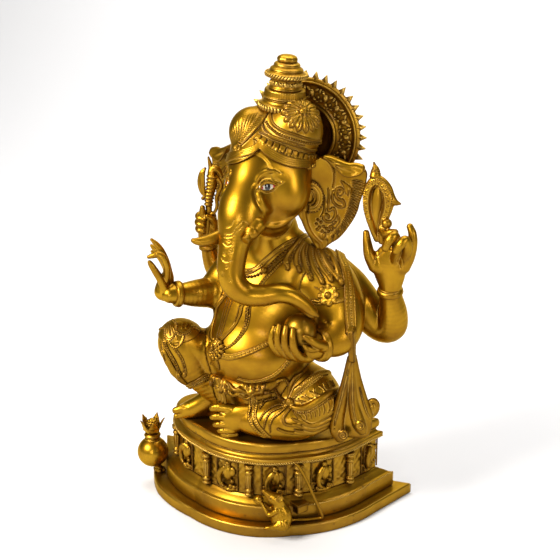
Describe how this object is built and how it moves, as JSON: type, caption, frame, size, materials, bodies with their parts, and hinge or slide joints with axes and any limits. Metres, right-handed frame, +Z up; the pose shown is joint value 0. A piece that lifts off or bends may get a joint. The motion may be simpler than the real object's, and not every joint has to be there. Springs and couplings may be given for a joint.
{
  "type": "seated elephant-headed deity statue",
  "caption": "Cast brass figure of a seated four-armed elephant-headed deity with a halo, on a tiered D-shaped plinth with a carved frieze, a mouse and a water pot.",
  "frame": {"origin": "on the flat underside of the plinth, midway between its front and its flat back", "axes": "+Z up, the figure faces -Y, +X towards the figure's own left"},
  "size_m": [0.3966, 0.1975, 0.5995],
  "materials": {
    "plinth_brass": "burnished cast brass with brown patina in the corners and dark casting pits",
    "relief_brass": "chased brass, rubbed bright on its high points and dark between them",
    "steel": "plain zinc-plated steel fixings",
    "figure_brass": "hand-polished cast brass, bright, with a warm brown patina in its folds",
    "cloth_brass": "chased brass drapery, brown in its grooves",
    "ornament_brass": "chased and beaded brass ornament with dark recesses",
    "tusk_brass": "smooth bright polished brass",
    "dark_brass": "matte olive-brown patinated brass",
    "eye_enamel": "white enamel with a black pupil and red corners"
  },
  "bodies": {
    "root": {"base_slab": "plinth_brass", "bottom_cover": "plinth_brass", "cover_screws": "steel", "step_tier": "plinth_brass", "frieze_wall": "plinth_brass", "frieze_pillars": "relief_brass", "frieze_reliefs": "relief_brass", "seat_rim": "plinth_brass", "rim_beads": "relief_brass", "seat_plate": "plinth_brass", "figure_studs": "steel", "stud_nuts": "steel", "torso": "figure_brass", "raised_leg": "figure_brass", "raised_foot": "figure_brass", "folded_leg": "figure_brass", "folded_foot": "figure_brass", "hip_cloth": "cloth_brass", "knee_cloth": "cloth_brass", "shin_hem": "cloth_brass", "folded_knee_cloth": "cloth_brass", "ankle_cuff": "cloth_brass", "arm_front_right": "figure_brass", "hand_front_right": "figure_brass", "arm_rear_right": "figure_brass", "hand_rear_right": "figure_brass", "axe": "ornament_brass", "arm_front_left": "figure_brass", "hand_front_left": "figure_brass", "sweet": "dark_brass", "arm_rear_left": "figure_brass", "hand_rear_left": "figure_brass", "noose": "ornament_brass", "bangles": "ornament_brass", "armlet": "ornament_brass", "head": "figure_brass", "trunk": "figure_brass", "tusk_right": "tusk_brass", "tusk_left_stub": "tusk_brass", "eyes": "eye_enamel", "ear_left": "figure_brass", "ear_right": "figure_brass", "earring": "ornament_brass", "headdress": "ornament_brass", "headband": "ornament_brass", "crown_base": "ornament_brass", "crown_drum": "ornament_brass", "crown_finial": "ornament_brass", "halo_dish": "ornament_brass", "halo_rays": "ornament_brass", "halo_stud": "steel", "necklace": "ornament_brass", "shoulder_fringe": "cloth_brass", "sacred_thread": "ornament_brass", "belt": "ornament_brass", "shoulder_sash": "cloth_brass", "sash_fan": "cloth_brass", "water_pot": "ornament_brass", "pot_leaves": "ornament_brass", "mouse": "ornament_brass"}
  },
  "joints": []
}
